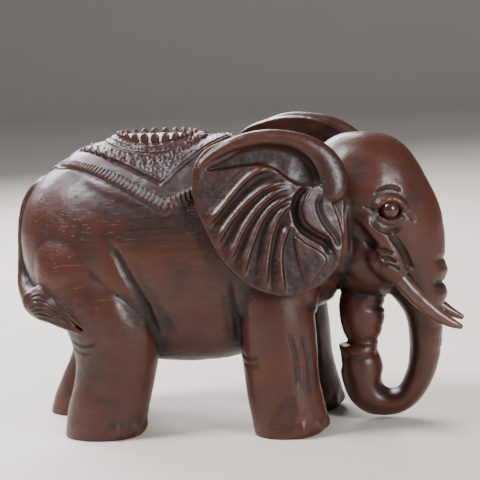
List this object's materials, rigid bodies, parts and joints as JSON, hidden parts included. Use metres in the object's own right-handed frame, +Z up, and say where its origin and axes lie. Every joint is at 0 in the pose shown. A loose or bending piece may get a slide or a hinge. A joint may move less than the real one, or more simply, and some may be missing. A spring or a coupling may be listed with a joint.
{
  "type": "elephant figurine",
  "caption": "Standing elephant carved from dark hardwood, trunk curled back to the chin, with glued-in ears, tusks and bead eyes; rests on flat soles.",
  "frame": {"origin": "on the ground under the middle of the elephant's box", "axes": "+X towards the trunk, +Y to the elephant's left, +Z up"},
  "size_m": [0.1514, 0.0666, 0.1029],
  "materials": {
    "dark_hardwood": "dark reddish-brown hardwood, waxed to a soft gloss",
    "tusk_wood": "lighter brown hardwood, waxed",
    "eye_bead": "very dark hardwood, polished"
  },
  "bodies": {
    "root": {"carved_body": "dark_hardwood", "ear_right": "dark_hardwood", "ear_left": "dark_hardwood", "tusk_right": "tusk_wood", "tusk_left": "tusk_wood", "eye_right": "eye_bead", "eye_left": "eye_bead"}
  },
  "joints": []
}
